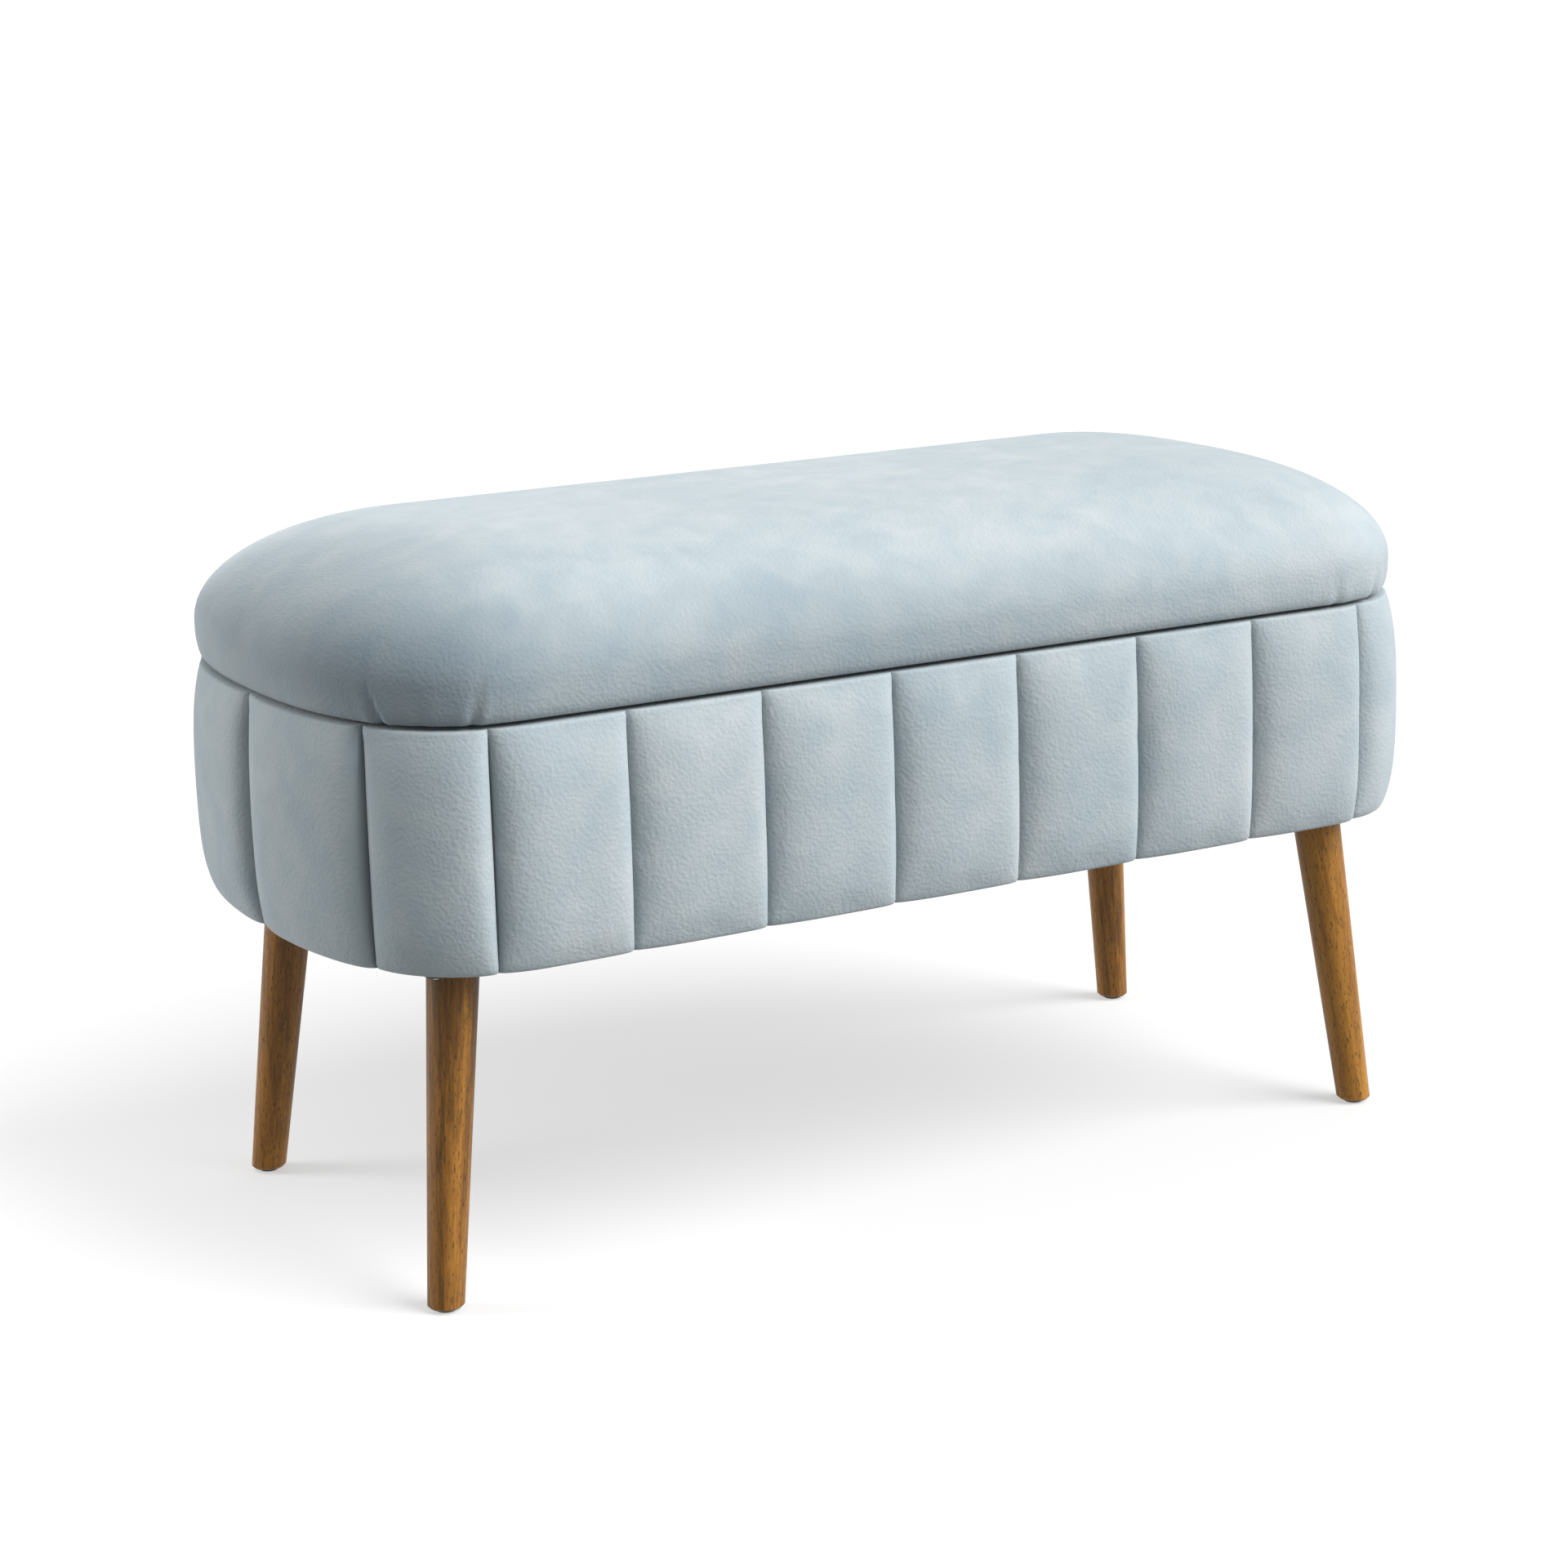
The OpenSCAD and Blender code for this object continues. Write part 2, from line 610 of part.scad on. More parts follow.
// Slotted arm, drawn hanging along -Z from its pivot and then leant to its rest angle
module stay_arm(side) color(zinc) mirror_for(side)
    translate([arm_x, pivot_y, pivot_z]) rotate([arm_lean, 0, 0]) difference() {
        union() {
            translate([0, -arm_w / 2, -slot_far - arm_tail + arm_w / 2])
                cube([stay_t, arm_w, slot_far + arm_tail - arm_w / 2]);
            rod_x(arm_w / 2, stay_t);
            translate([0, 0, -slot_far - arm_tail + arm_w / 2]) rod_x(arm_w / 2, stay_t);
        }
        translate([-1, 0, 0]) rod_x(rivet_r + hole_gap, stay_t + 2);
        for (s = [slot_near, slot_far]) translate([-1, 0, -s]) rod_x(stud_r + stud_gap, stay_t + 2);
        translate([-1, -stud_r - stud_gap, -slot_far])
            cube([stay_t + 2, 2 * (stud_r + stud_gap), slot_far - slot_near]);
    }

lid_plate_z = lid_z - stay_t;
lid_foot_w = 18;
lid_foot_l = 36;
module stay_lid_bracket(side) color(zinc) mirror_for(side) difference() {
    union() {
        translate([lid_plate_x - lid_foot_w + stay_t, pivot_y - lid_foot_l / 2, lid_plate_z])
            cube([lid_foot_w, lid_foot_l, stay_t]);
        translate([lid_plate_x, pivot_y - 8, pivot_z]) cube([stay_t, 16, lid_z - pivot_z]);
        translate([lid_plate_x, pivot_y, pivot_z]) rod_x(8, stay_t);
    }
    translate([lid_plate_x - 1, pivot_y, pivot_z]) rod_x(rivet_r + hole_gap, stay_t + 2);
    at_lid_foot_screws() rotate([180, 0, 0]) wood_screw(lid_screw_len, hole_gap);
}

module at_lid_foot_screws() for (k = [-1, 1])
    translate([lid_plate_x - lid_foot_w / 2, pivot_y + k * 11, lid_plate_z]) children();

module stay_rivets() color(zinc) for (side = [-1, 1]) mirror_for(side) {
    outer = arm_x + stay_t + slip / 2;
    translate([lid_plate_x - head_t / 2, pivot_y, pivot_z]) rod_x(rivet_r, outer - lid_plate_x + head_t);
    translate([lid_plate_x - head_t, pivot_y, pivot_z]) rod_x(head_r, head_t);
    translate([outer, pivot_y, pivot_z]) rod_x(head_r, head_t);
}

module stay_box_screws() color(zinc) for (side = [-1, 1]) mirror_for(side)
    at_bracket_screws() wood_screw_x();

module stay_lid_screws() color(zinc) for (side = [-1, 1]) mirror_for(side)
    at_lid_foot_screws() rotate([180, 0, 0]) wood_screw(lid_screw_len);

// Every screw hole in the underside of the lid
module lid_fixings() for (side = [-1, 1]) {
    at_hinge_screws(side) translate([0, 0, lid_z - leaf_t]) rotate([180, 0, 0])
        wood_screw(lid_screw_len, hole_gap);
    mirror_for(side) at_lid_foot_screws() rotate([180, 0, 0]) wood_screw(lid_screw_len, hole_gap);
}

// ---- Drawing ------------------------------------------------------------------------------

base_board();
side_panel(-1);  // front_panel
side_panel(1);  // rear_panel
end_panel(-1);  // end_panel_left
end_panel(1);  // end_panel_right
post(-1, -1);  // post_front_left
post(1, -1);  // post_front_right
post(-1, 1);  // post_rear_left
post(1, 1);  // post_rear_right
rim_frame();
body_foam();
body_cover();
wall_lining();
floor_lining();
dust_cover();
leg(-1, -1);  // leg_front_left
leg(1, -1);  // leg_front_right
leg(-1, 1);  // leg_rear_left
leg(1, 1);  // leg_rear_right
leg_plate(-1, -1);  // leg_plate_front_left
leg_plate(1, -1);  // leg_plate_front_right
leg_plate(-1, 1);  // leg_plate_rear_left
leg_plate(1, 1);  // leg_plate_rear_right
glide(-1, -1);  // glide_front_left
glide(1, -1);  // glide_front_right
glide(-1, 1);  // glide_rear_left
glide(1, 1);  // glide_rear_right
hanger_bolts();
leg_plate_screws();
rim_bumpers();
lid_board();
lid_foam();
lid_cover();
lid_lining();
hinge_leaf(-1, -1);  // hinge_box_leaf_left
hinge_leaf(1, -1);  // hinge_box_leaf_right
hinge_leaf(-1, 1);  // hinge_lid_leaf_left
hinge_leaf(1, 1);  // hinge_lid_leaf_right
hinge_pin(-1);  // hinge_pin_left
hinge_pin(1);  // hinge_pin_right
hinge_box_screws();
hinge_lid_screws();
stay_arm(-1);  // stay_arm_left
stay_arm(1);  // stay_arm_right
stay_box_bracket(-1);  // stay_box_bracket_left
stay_box_bracket(1);  // stay_box_bracket_right
stay_lid_bracket(-1);  // stay_lid_bracket_left
stay_lid_bracket(1);  // stay_lid_bracket_right
stay_studs();
stay_rivets();
stay_box_screws();
stay_lid_screws();
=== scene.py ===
# Upholstered storage bench: a domed, hinged velvet lid on a channel-quilted box with four splayed legs.
# Metres, floor at z = 0, front towards -Y. The pieces come in the order in which the bench is put together.
import math

import bpy
import numpy as np
from mathutils import Euler, Matrix, Vector


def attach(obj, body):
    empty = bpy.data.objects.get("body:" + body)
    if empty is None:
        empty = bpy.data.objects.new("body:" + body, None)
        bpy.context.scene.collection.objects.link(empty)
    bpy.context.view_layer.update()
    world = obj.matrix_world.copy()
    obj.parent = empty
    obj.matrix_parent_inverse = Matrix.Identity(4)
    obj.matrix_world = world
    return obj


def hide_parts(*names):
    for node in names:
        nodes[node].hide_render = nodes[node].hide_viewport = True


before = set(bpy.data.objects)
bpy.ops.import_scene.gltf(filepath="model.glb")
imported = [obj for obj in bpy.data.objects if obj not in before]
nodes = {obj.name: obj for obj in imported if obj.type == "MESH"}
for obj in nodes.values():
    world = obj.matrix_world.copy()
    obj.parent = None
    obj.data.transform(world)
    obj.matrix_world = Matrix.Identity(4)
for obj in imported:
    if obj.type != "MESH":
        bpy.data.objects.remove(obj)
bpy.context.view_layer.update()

bpy.ops.object.select_all(action="DESELECT")

# ---- Studio -----------------------------------------------------------------------------------------------
# A matt white floor that washes out to white, a large soft key far off to the front right, a softbox at the
# back left, and a white room all round. The camera stands at the front left, a little above the bench.


def linear(hex_code):
    """An sRGB hex colour as the linear RGBA that shaders take."""
    channels = [int(hex_code[i:i + 2], 16) / 255 for i in (1, 3, 5)]
    return [c / 12.92 if c <= 0.04045 else ((c + 0.055) / 1.055) ** 2.4 for c in channels] + [1.0]


def add_node(tree, kind, inputs=None, **settings):
    """Adds a shader node. An input given as another node's output is linked, and any other value is set."""
    node = tree.nodes.new(kind)
    for name, value in settings.items():
        setattr(node, name, value)
    for key, value in (inputs or {}).items():
        if isinstance(value, bpy.types.NodeSocket):
            tree.links.new(value, node.inputs[key])
        else:
            node.inputs[key].default_value = value
    return node


def new_material(name):
    """An empty material with a Principled shader on its output, as (material, tree, shader)."""
    material = bpy.data.materials.new(name)
    material.use_nodes = True
    tree = material.node_tree
    tree.nodes.clear()
    shader = add_node(tree, "ShaderNodeBsdfPrincipled")
    add_node(tree, "ShaderNodeOutputMaterial", {"Surface": shader.outputs[0]})
    return material, tree, shader


scene = bpy.context.scene
scene.view_settings.view_transform = "Standard"

# The room is bright above, dimmer below, and dimmer still at the front left, where a black flag hangs. Seen
# past the end of the floor it is plain white.
room = bpy.data.worlds.new("white_room")
room.use_nodes = True
tree = room.node_tree
direction = add_node(tree, "ShaderNodeTexCoord").outputs["Generated"]
rise = add_node(tree, "ShaderNodeSeparateXYZ", {0: direction}).outputs["Z"]
below, above = 0.60, 0.67
glow = add_node(tree, "ShaderNodeMapRange", {0: rise, 1: -0.25, 2: 0.25, 3: below, 4: above})
towards_flag = (-0.86, -0.5, 0.1)
flag = add_node(tree, "ShaderNodeVectorMath", {0: direction, 1: towards_flag}, operation="DOT_PRODUCT")
flag = add_node(tree, "ShaderNodeMapRange", {0: flag.outputs["Value"], 1: 0.2, 2: 0.9, 3: 1.0, 4: 0.45})
glow = add_node(tree, "ShaderNodeMath", {0: glow.outputs[0], 1: flag.outputs[0]}, operation="MULTIPLY")
seen = add_node(tree, "ShaderNodeLightPath").outputs["Is Camera Ray"]
glow = add_node(tree, "ShaderNodeMath", {0: glow.outputs[0], 1: seen}, operation="MAXIMUM")
tree.nodes["Background"].inputs["Color"].default_value = linear("#ffffff")
tree.links.new(glow.outputs[0], tree.nodes["Background"].inputs["Strength"])
scene.world = room

floor_width = 400.0
bpy.ops.mesh.primitive_plane_add(size=floor_width)
floor = bpy.context.object
floor.name = "studio_floor"
floor.visible_diffuse = False
# Matt white vinyl on a light table: it scatters what falls on it and glows a little of its own.
vinyl, tree, shader = new_material("white_vinyl_sweep")
shader.inputs["Base Color"].default_value = linear("#9a9a9a")
shader.inputs["Roughness"].default_value = 0.9
shader.inputs["Specular IOR Level"].default_value = 0.1
shader.inputs["Emission Color"].default_value = linear("#ffffff")
shader.inputs["Emission Strength"].default_value = 0.5
floor.data.materials.append(vinyl)

# The key is far off to the front right, a softbox fills in from the back left, and a spot from above the left
# lifts the floor where the long end of the shadow would lie.
for name, kind, place, aim, energy, spread in (
    ("front_right_key", "SUN", (2.9, -3.35, 4.1), (0, 0, 0.3), 5.25, 0.8),
    ("back_left_softbox", "AREA", (-2.6, 1.6, 1.1), (0, 0, 0.3), 50, 1.6),
    ("floor_spot", "SPOT", (-1.5, 0.8, 1.9), (-0.79, 0.25, 0), 125, 0.48),
):
    lamp = bpy.data.lights.new(name, kind)
    lamp.energy = energy
    if kind == "SUN":
        lamp.angle = spread
    elif kind == "AREA":
        lamp.size = spread
    else:
        lamp.spot_size = spread
        lamp.spot_blend = 1.0
        lamp.shadow_soft_size = 0.3
    light = bpy.data.objects.new(name, lamp)
    scene.collection.objects.link(light)
    light.location = place
    light.rotation_euler = (Vector(place) - Vector(aim)).to_track_quat("Z", "Y").to_euler()

camera_yaw, camera_pitch, camera_roll = 0.50816, 0.23863, -0.02730
camera_data = bpy.data.cameras.new("studio_camera")
camera_data.lens = 78.38
camera_data.sensor_width = 36
camera = bpy.data.objects.new("studio_camera", camera_data)
scene.collection.objects.link(camera)
camera.location = (-1.2235, -2.1550, 0.8791)
aimed = Euler((math.pi / 2 - camera_pitch, 0, -camera_yaw)).to_matrix()
camera.rotation_euler = (aimed @ Matrix.Rotation(camera_roll, 3, "Z")).to_euler()
scene.camera = camera

# ---- Box carcass ------------------------------------------------------------------------------------------
# Base board, straight walls, bent end walls, corner posts and rim frame, all of birch plywood, glued and
# stapled. Only edges show, through the lining's seams and with the lid open.
birch, tree, shader = new_material("birch_plywood")
place = add_node(tree, "ShaderNodeTexCoord").outputs["Object"]
# Long soft grain of a rotary-cut face, 4 mm wide, and the 1.5 mm plies where a board is cut across.
grain_place = add_node(tree, "ShaderNodeMapping", {"Vector": place, "Scale": (12, 250, 250)})
grain = add_node(tree, "ShaderNodeTexNoise", {"Vector": grain_place.outputs[0], "Scale": 1.0, "Detail": 4.0})
plies = add_node(tree, "ShaderNodeTexWave", {"Vector": place, "Scale": 105.0, "Distortion": 0.4},
                 bands_direction="Z")
faces = add_node(tree, "ShaderNodeMix", {0: grain.outputs[0],
                                         6: linear("#d9bf94"), 7: linear("#c4a26f")}, data_type="RGBA")
edges = add_node(tree, "ShaderNodeMix", {0: plies.outputs[1],
                                         6: faces.outputs[2], 7: linear("#b08d5c")}, data_type="RGBA")
shader.inputs["Roughness"].default_value = 0.7
tree.links.new(edges.outputs[2], shader.inputs["Base Color"])


def finish_nodes(names, material):
    """Gives carried-over CAD nodes their finish."""
    for node_name in names:
        mesh = nodes[node_name].data
        mesh.materials.clear()
        mesh.materials.append(material)


finish_nodes(["base_board", "front_panel", "rear_panel", "end_panel_left", "end_panel_right",
              "post_front_left", "post_front_right", "post_rear_left", "post_rear_right", "rim_frame",
              "lid_board"], birch)

# ---- Body cover -------------------------------------------------------------------------------------------
# Velvet over foam, sewn into upright channels, glued to the walls, turned over the rim into the box and under
# the base board, and stapled there. The seams pull in and each channel swells between them.


def velvet_finish(name, painted_shade_zones):
    """Polyester velvet, darkened by painted shade in each zone: (centre, reach each way, strength of the painted
    shade).
    """
    material, tree, shader = new_material(name)
    place = add_node(tree, "ShaderNodeTexCoord").outputs["Object"]
    # Brushed nap lies in soft patches a hand wide, with finger-wide strokes in them.
    patch = add_node(tree, "ShaderNodeTexNoise", {"Vector": place, "Scale": 7.0, "Detail": 2.0,
                                                  "Distortion": 0.3})
    stroke = add_node(tree, "ShaderNodeTexNoise", {"Vector": place, "Scale": 36.0, "Detail": 3.0,
                                                   "Distortion": 0.4})
    nap = add_node(tree, "ShaderNodeMath", {0: stroke.outputs[0], 1: 0.5, 2: 0.025}, operation="MULTIPLY_ADD")
    nap = add_node(tree, "ShaderNodeMath", {0: patch.outputs[0], 1: 0.45, 2: nap.outputs[0]},
                   operation="MULTIPLY_ADD")
    tint = add_node(tree, "ShaderNodeValToRGB", {"Fac": nap.outputs[0]})
    for k, (where, shade) in enumerate(((0.29, "#8e9ba2"), (0.71, "#a5abae"), (0.5, "#99a3a7"))):
        stop = tint.color_ramp.elements[k] if k < 2 else tint.color_ramp.elements.new(where)
        stop.position = where
        stop.color = linear(shade)
    colour = tint.outputs[0]
    # Painted shade: in each zone, which has a wandering edge, the colour is mixed towards dark teal.
    wander = add_node(tree, "ShaderNodeTexNoise", {"Vector": place, "Scale": 9.0, "Detail": 3.0})
    wander = add_node(tree, "ShaderNodeVectorMath", {0: wander.outputs["Color"], 1: (0.08, 0.08, 0.05),
                                                     2: (-0.04, -0.04, -0.025)}, operation="MULTIPLY_ADD")
    wander = add_node(tree, "ShaderNodeVectorMath", {0: place, 1: wander.outputs[0]})
    for centre, reach, shade_strength in painted_shade_zones:
        shade_zone = add_node(tree, "ShaderNodeMapping", {"Vector": wander.outputs[0], "Location": centre,
                                                    "Scale": reach}, vector_type="TEXTURE")
        shade_zone = add_node(tree, "ShaderNodeTexGradient", {"Vector": shade_zone.outputs[0]}, gradient_type="SPHERICAL")
        shade_zone = add_node(tree, "ShaderNodeMapRange", {0: shade_zone.outputs[1], 1: 0.0, 2: 0.75, 3: 0.0, 4: shade_strength},
                        interpolation_type="SMOOTHSTEP")
        mixed = add_node(tree, "ShaderNodeMix", {0: shade_zone.outputs[0], 6: colour, 7: linear("#1b3848")},
                         data_type="RGBA")
        colour = mixed.outputs[2]
    # A dark line is painted along each sewn seam: painted shade in its crease, and the darker ground cloth where
    # the pile parts. A cover without seams has no such mark.
    seam = add_node(tree, "ShaderNodeAttribute", attribute_name="painted_seam_shade")
    seam = add_node(tree, "ShaderNodeMath", {0: seam.outputs["Fac"], 1: 0.75}, operation="MULTIPLY")
    colour = add_node(tree, "ShaderNodeMix", {0: seam.outputs[0], 6: colour, 7: linear("#34424b")},
                      data_type="RGBA").outputs[2]
    # The backing shows as a fine pebbled grain, 2 to 3 mm across.
    pebble = add_node(tree, "ShaderNodeTexVoronoi", {"Vector": place, "Scale": 420.0}, feature="SMOOTH_F1")
    fuzz = add_node(tree, "ShaderNodeTexNoise", {"Vector": place, "Scale": 900.0, "Detail": 2.0})
    relief = add_node(tree, "ShaderNodeMath", {0: fuzz.outputs[0], 1: 0.3, 2: pebble.outputs[0]},
                      operation="MULTIPLY_ADD")
    bump = add_node(tree, "ShaderNodeBump", {"Height": relief.outputs[0], "Strength": 0.45,
                                             "Distance": 0.0008})
    tree.links.new(colour, shader.inputs["Base Color"])
    tree.links.new(bump.outputs[0], shader.inputs["Normal"])
    shader.inputs["Roughness"].default_value = 0.88
    shader.inputs["Specular IOR Level"].default_value = 0.25
    shader.inputs["Sheen Weight"].default_value = 0.3
    shader.inputs["Sheen Roughness"].default_value = 0.35
    shader.inputs["Sheen Tint"].default_value = linear("#e9ecee")
    return material


half_length, half_width = 0.450, 0.218
corner_run, end_flat, corner_power = 0.132, 0.006, 2.48
straight_x = half_length - corner_run
corner_side = half_width - end_flat / 2

# The box's widest line, walked from the middle of the front towards +X: points, outward normals and arc length.
angles = np.radians(np.linspace(0, 90, 1201))
corner_points = np.stack([straight_x + corner_run * np.sin(angles) ** (2 / corner_power),
                          end_flat / 2 + corner_side * np.cos(angles).clip(0) ** (2 / corner_power)], 1)
corner_normals = np.stack([np.sin(angles) ** (2 - 2 / corner_power) / corner_run,
                           np.cos(angles).clip(0) ** (2 - 2 / corner_power) / corner_side], 1)
quarters = [((1, -1), 1), ((1, 1), -1), ((-1, 1), 1), ((-1, -1), -1)]
start = [[0.0, -half_width]]
line_points = np.concatenate([start] + [corner_points[::step] * sign for sign, step in quarters] + [start])
line_normals = np.concatenate([[[0.0, -1.0]]] + [corner_normals[::step] * sign for sign, step in quarters]
                              + [[[0.0, -1.0]]])
line_arc = np.concatenate([[0], np.cumsum(np.linalg.norm(np.diff(line_points, axis=0), axis=1))])
perimeter = line_arc[-1]


def on_line(arc):
    """Points and outward unit normals of the box's widest line at these arc lengths."""
    arc = np.mod(arc, perimeter)
    points = np.stack([np.interp(arc, line_arc, line_points[:, k]) for k in (0, 1)], 1)
    normals = np.stack([np.interp(arc, line_arc, line_normals[:, k]) for k in (0, 1)], 1)
    return points, normals / np.linalg.norm(normals, axis=1, keepdims=True)


def mesh_object(name, rings, closed_round=True, closed_section=False):
    """A mesh through rings of equal count, each an (n, 3) array. Sections can close on themselves too."""
    count, turns = len(rings[0]), len(rings)
    around = count if closed_round else count - 1
    faces = [(k * count + i, k * count + (i + 1) % count,
              ((k + 1) % turns) * count + (i + 1) % count, ((k + 1) % turns) * count + i)
             for k in range(turns if closed_section else turns - 1) for i in range(around)]
    mesh = bpy.data.meshes.new(name)
    mesh.from_pydata(np.concatenate(rings).tolist(), [], faces)
    made = bpy.data.objects.new(name, mesh)
    scene.collection.objects.link(made)
    return made


def edit_all(piece):
    """Opens a piece in edit mode with everything selected and nothing else chosen."""
    bpy.ops.object.select_all(action="DESELECT")
    bpy.context.view_layer.objects.active = piece
    piece.select_set(True)
    bpy.ops.object.mode_set(mode="EDIT")
    bpy.ops.mesh.select_mode(type="VERT")
    bpy.ops.mesh.select_all(action="SELECT")


def close_seams(piece, distance=1e-5):
    """Merges doubles, turns all faces outwards and shades the piece smooth."""
    edit_all(piece)
    bpy.ops.mesh.remove_doubles(threshold=distance)
    bpy.ops.mesh.normals_make_consistent(inside=False)
    bpy.ops.object.mode_set(mode="OBJECT")
    piece.data.shade_smooth()


def vertices(piece):
    co = np.empty(len(piece.data.vertices) * 3)
    piece.data.vertices.foreach_get("co", co)
    return co.reshape(-1, 3)


def set_vertices(piece, co):
    piece.data.vertices.foreach_set("co", co.ravel())
    piece.data.update()


def swell(piece, pinned, pressure, slack, most):
    """Inflates a padded piece as cloth. Pinned points stay, and no other point moves further than most."""
    before = vertices(piece)
    group = piece.vertex_groups.new(name="sewn_down")
    group.add(np.nonzero(pinned)[0].tolist(), 1.0, "REPLACE")
    cloth = piece.modifiers.new("swell", "CLOTH")
    settings = cloth.settings
    # Velvet on foam: it hardly stretches, bends stiffly, and doesn't hang.
    settings.quality = 5
    settings.mass = 0.3
    settings.tension_stiffness = settings.compression_stiffness = settings.shear_stiffness = 20
    settings.bending_stiffness = 2.0
    settings.use_pressure = True
    settings.uniform_pressure_force = pressure
    settings.shrink_min = -slack
    settings.vertex_group_mass = group.name
    settings.effector_weights.gravity = 0
    cloth.collision_settings.use_collision = False
    last_step = 20
    for step in range(1, last_step + 1):
        scene.frame_set(step)
    settled = piece.evaluated_get(bpy.context.evaluated_depsgraph_get())
    co = np.empty(len(settled.data.vertices) * 3)
    settled.data.vertices.foreach_get("co", co)
    piece.modifiers.remove(cloth)
    piece.vertex_groups.clear()
    scene.frame_set(1)
    move = co.reshape(-1, 3) - before
    reach = np.linalg.norm(move, axis=1, keepdims=True)
    set_vertices(piece, before + move * np.minimum(1, most / np.maximum(reach, 1e-9)))


side_panels, panel_width = 9, 0.10125
side_run = side_panels * panel_width
end_width = (perimeter / 2 - side_run) / 2
seam_arcs = [side * perimeter / 2 + (k - side_panels / 2) * panel_width for side in (0, 1)
             for k in range(side_panels)]
seam_arcs += [side * perimeter / 2 + side_run / 2 + k * end_width for side in (0, 1) for k in (0, 1)]
seam_arcs = np.sort(np.mod(seam_arcs, perimeter))
seam_next = np.append(seam_arcs[1:], seam_arcs[0] + perimeter)

# Columns crowd towards the seams, where the cover bends most.
steps = 28
even = np.arange(steps) / steps
across = 0.28 * even + 0.72 * (0.5 - 0.5 * np.cos(np.pi * even))
column_arc = np.concatenate([a + (b - a) * across for a, b in zip(seam_arcs, seam_next)])
column_seam = np.concatenate([(b - a) * np.minimum(across, 1 - across) for a, b in zip(seam_arcs, seam_next)])
column_points, column_normals = on_line(column_arc)

underside, rim_top = 0.238, 0.402
seam_deep, lip_width, crease_depth, crease_width = 0.0145, 0.013, 0.0026, 0.0024


def channel(distance, leading):
    """How deep the cover lies below a channel's crest, at this distance along the box from the nearest seam.
    A channel's leading side slopes long and soft: its foam was pushed the other way as it was filled."""
    depth, width = np.where(leading, 0.0108, 0.0042), np.where(leading, 0.046, 0.030)
    slope = np.clip(1 - distance / width, 0, 1) ** 2.2
    lip = np.clip(1 - distance / lip_width, 0, 1)
    crease = np.clip(1 - distance / crease_width, 0, 1)
    return depth * slope + (seam_deep - depth) * (1 - np.sqrt(1 - lip ** 2)) + crease_depth * crease


def side_tuck(t):
    return 0.009 * t ** 6.3 + 0.010 * (1 - t) ** 8


def seam_strength(t):
    return 1 - 0.7 * t ** 8 - 0.7 * (1 - t) ** 8


# The cover's section as (inset from the widest line, height, strength of the seams there): under the base
# board from its hem outwards, up the quilted side, over the rim and down into the box, then back inside.
side_t = np.linspace(0.0215, 0.983, 42)
section = [(0.042, 0.2380, 0.0), (0.036, 0.2380, 0.02), (0.030, 0.2380, 0.05), (0.024, 0.2380, 0.10),
           (0.019, 0.2380, 0.16), (0.0155, 0.2380, 0.22), (0.0130, 0.2381, 0.28), (0.0113, 0.2384, 0.33),
           (0.0100, 0.2391, 0.38), (0.0091, 0.2402, 0.42)]
section += [(side_tuck(t), underside + (rim_top - underside) * t, seam_strength(t)) for t in side_t]
section += [(0.0083, 0.4007, 0.42), (0.0091, 0.4017, 0.36), (0.0108, 0.4020, 0.30), (0.014, 0.4020, 0.22),
            (0.019, 0.4020, 0.12), (0.026, 0.4020, 0.04), (0.036, 0.4020, 0.0), (0.046, 0.4020, 0.0),
            (0.0530, 0.4019, 0.0), (0.0538, 0.4012, 0.0), (0.0538, 0.396, 0.0), (0.0538, 0.391, 0.0),
            (0.0538, 0.3862, 0.0), (0.0523, 0.3862, 0.0), (0.0523, 0.4005, 0.0), (0.0217, 0.4005, 0.0),
            (0.0217, 0.2395, 0.0), (0.042, 0.2395, 0.0)]
quilting = channel(column_seam, np.tile(across < 0.5, len(seam_arcs)))
rings = []
for inset, height, strength in section:
    flat = column_points - (inset + strength * quilting)[:, None] * column_normals
    rings.append(np.column_stack([flat, np.full(len(flat), height)]))
body = mesh_object("body_cover_quilted", rings, closed_section=True)
close_seams(body, 1e-7)

row = np.arange(len(body.data.vertices)) // len(column_seam)
free_row = (row > 9) & (row < 9 + len(side_t))
on_seam = np.tile(column_seam < 1e-9, len(section))
swell(body, ~free_row | on_seam, pressure=3.0, slack=0.0012, most=0.0025)

# Painted shade along each seam, strongest where the seam pulls in hardest.
seam_shade_values = body.data.attributes.new("painted_seam_shade", "FLOAT", "POINT")
seam_shade_values.data.foreach_set("value", np.concatenate([(column_seam < 1e-9) * min(1.0, 2 * strength)
                                                 for _, _, strength in section]))
# The quilted cover gets no painted shade zones.
no_painted_shade = []
body.data.materials.append(velvet_finish("dusty_blue_velvet_quilted", no_painted_shade))
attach(body, "box")
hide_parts("body_cover", "body_foam")

